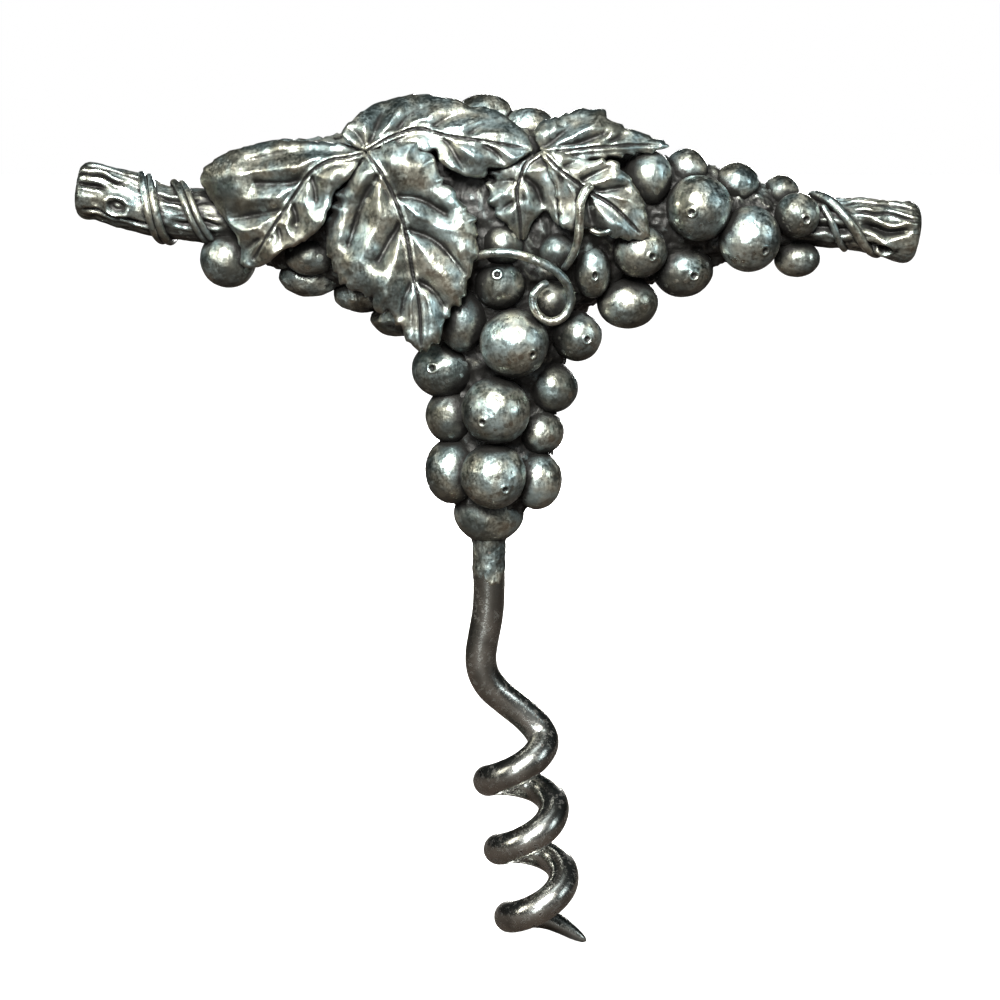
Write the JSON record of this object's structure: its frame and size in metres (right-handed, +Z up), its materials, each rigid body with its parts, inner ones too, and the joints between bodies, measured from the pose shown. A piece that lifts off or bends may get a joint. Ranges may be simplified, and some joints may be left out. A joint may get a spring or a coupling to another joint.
{
  "type": "figural T corkscrew",
  "caption": "Direct-pull T corkscrew: cast vine handle with leaves, tendrils and grapes, and one thick bent-wire worm.",
  "frame": {"origin": "the point of the worm", "axes": "+Z up, from the worm's point towards the handle; +X to the right along the handle as seen from its front; -Y out of the leafy front"},
  "size_m": [0.1078, 0.0225, 0.1148],
  "materials": {
    "pewter": "antiqued cast pewter: bright worn crests, near-black patina in the hollows",
    "dark_pewter": "blackened cast pewter in the hollows behind the leaves and grapes",
    "worm_steel": "dull drawn steel wire with brown age spots"
  },
  "bodies": {
    "root": {"back_grape_1": "pewter", "back_grape_2": "pewter", "back_grape_3": "pewter", "back_grape_4": "pewter", "back_grape_5": "pewter", "back_grape_6": "pewter", "back_grape_7": "pewter", "back_grape_8": "pewter", "back_leaf": "pewter", "bunch_core": "dark_pewter", "column_core": "dark_pewter", "column_grape_1": "pewter", "column_grape_10": "pewter", "column_grape_2": "pewter", "column_grape_3": "pewter", "column_grape_4": "pewter", "column_grape_5": "pewter", "column_grape_6": "pewter", "column_grape_7": "pewter", "column_grape_8": "pewter", "column_grape_9": "pewter", "curl_tendril": "pewter", "large_leaf": "pewter", "leaf_stem": "pewter", "left_branch": "pewter", "left_grape_1": "pewter", "left_grape_2": "pewter", "left_grape_3": "pewter", "left_grape_4": "pewter", "left_grape_5": "pewter", "left_winding": "pewter", "middle_grape_1": "pewter", "middle_grape_2": "pewter", "middle_grape_3": "pewter", "middle_grape_4": "pewter", "middle_grape_5": "pewter", "neck_sleeve": "pewter", "right_branch": "pewter", "right_grape_1": "pewter", "right_grape_10": "pewter", "right_grape_11": "pewter", "right_grape_12": "pewter", "right_grape_13": "pewter", "right_grape_2": "pewter", "right_grape_3": "pewter", "right_grape_4": "pewter", "right_grape_5": "pewter", "right_grape_6": "pewter", "right_grape_7": "pewter", "right_grape_8": "pewter", "right_grape_9": "pewter", "right_winding": "pewter", "small_leaf": "pewter", "top_grape_1": "pewter", "top_grape_2": "pewter", "worm": "worm_steel"}
  },
  "joints": []
}
